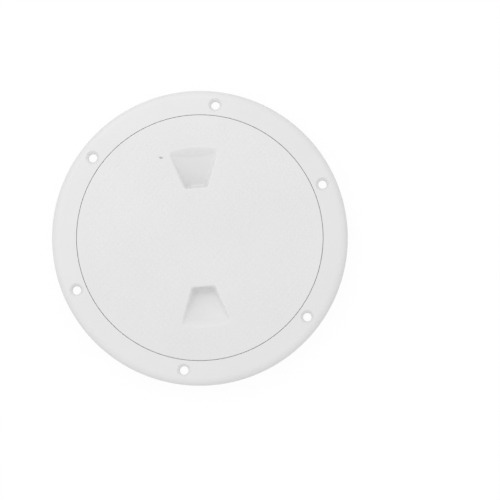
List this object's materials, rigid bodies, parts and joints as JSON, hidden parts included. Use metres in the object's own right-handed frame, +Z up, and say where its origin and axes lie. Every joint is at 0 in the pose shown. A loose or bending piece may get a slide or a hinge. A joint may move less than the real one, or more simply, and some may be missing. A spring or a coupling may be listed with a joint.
{
  "type": "deck inspection plate",
  "caption": "Round deck inspection plate: flanged mounting ring with countersunk screw holes and a flush screw-out lid with wedge-shaped finger recesses.",
  "frame": {"origin": "centre of the screw circle, on the plane where the flange sits on the deck", "axes": "+Z up out of the deck along the axis of the thread, +Y from the middle through one finger recess, with the first screw hole 11 degrees clockwise of it seen from above"},
  "size_m": [0.249, 0.249, 0.0235],
  "materials": {
    "ring_plastic": "satin moulded ABS, white",
    "lid_plastic": "satin moulded ABS, white, with a fine anti-slip pattern on top",
    "seal_rubber": "matt black rubber"
  },
  "bodies": {
    "ring": {"mounting_ring": "ring_plastic"},
    "seal": {"seal_ring": "seal_rubber"},
    "lid": {"screw_lid": "lid_plastic"}
  },
  "joints": [
    {"name": "lid_rise", "type": "slide", "parent": "ring", "child": "seal", "axis": [0, 0, 1], "range_m": [0, 0.0213]},
    {"name": "lid_turn", "type": "hinge", "parent": "seal", "child": "lid", "pos_m": [0, 0, 0], "axis": [0, 0, 1], "range_deg": [0, 1530]}
  ],
  "couplings": [
    {"joint": "lid_rise", "follows": "lid_turn", "m_per_rad": 0.00079577}
  ]
}
